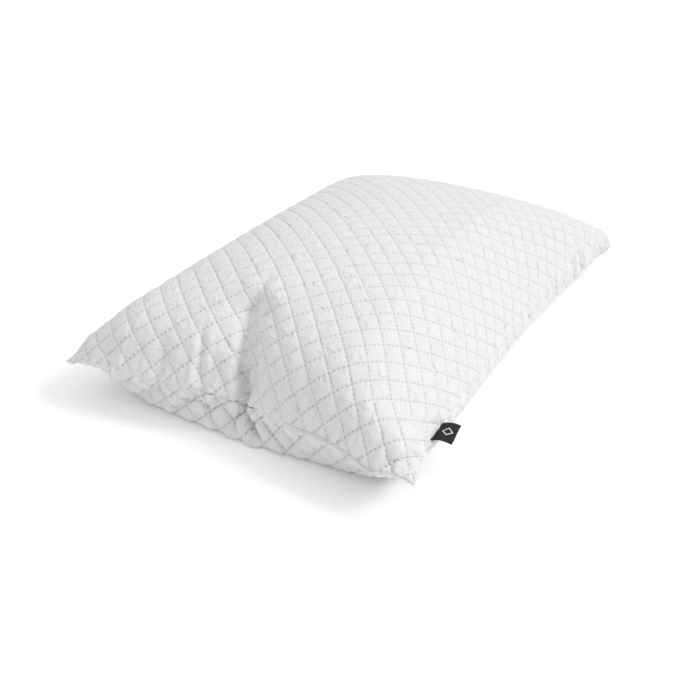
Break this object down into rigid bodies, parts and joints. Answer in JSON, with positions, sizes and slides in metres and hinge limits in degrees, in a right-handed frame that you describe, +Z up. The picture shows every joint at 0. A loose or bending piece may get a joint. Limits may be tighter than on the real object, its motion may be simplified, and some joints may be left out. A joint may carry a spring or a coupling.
{
  "type": "bed pillow",
  "caption": "Rectangular bed pillow in a diamond-quilted cover, soft and domed, with a small woven label in the long seam.",
  "frame": {"origin": "centre of the footprint, on the surface that the pillow lies on", "axes": "+X along the pillow's length, +Y across its width, +Z up; the brand label's long edge faces -Y, the closing seam faces -X"},
  "size_m": [0.688, 0.468, 0.16],
  "materials": {
    "face_fabric": "matt brushed microfibre, white",
    "wadding": "soft polyester wadding, white",
    "backing": "thin nonwoven, off-white",
    "fill": "loose hollow polyester fibre, white",
    "sewing_thread": "spun polyester thread, white",
    "label_tape": "close woven tape, black",
    "label_yarn": "inwoven yarn, pale grey",
    "care_tape": "smooth satin tape, white, blank"
  },
  "bodies": {
    "cover": {"top_face_fabric": "face_fabric", "top_wadding": "wadding", "top_backing": "backing", "bottom_face_fabric": "face_fabric", "bottom_wadding": "wadding", "bottom_backing": "backing", "fibre_fill": "fill", "seam_thread": "sewing_thread", "closing_seam_thread": "sewing_thread", "brand_label_tail": "label_tape", "care_label_tail": "care_tape"},
    "brand_label_flap": {"brand_label": "label_tape", "brand_label_motif": "label_yarn"},
    "care_label_flap": {"care_label": "care_tape"}
  },
  "joints": [
    {"name": "brand_label_bend", "type": "hinge", "parent": "cover", "child": "brand_label_flap", "pos_m": [-0.25, -0.20537, 0.046], "axis": [-0.9966, -0.0819, 0], "range_deg": [-70, 75], "stiffness_Nm_per_rad": 0.002},
    {"name": "care_label_swing", "type": "hinge", "parent": "cover", "child": "care_label_flap", "pos_m": [0.31793, 0.12, 0.046], "axis": [0, -1, 0], "range_deg": [-4, 150]}
  ]
}
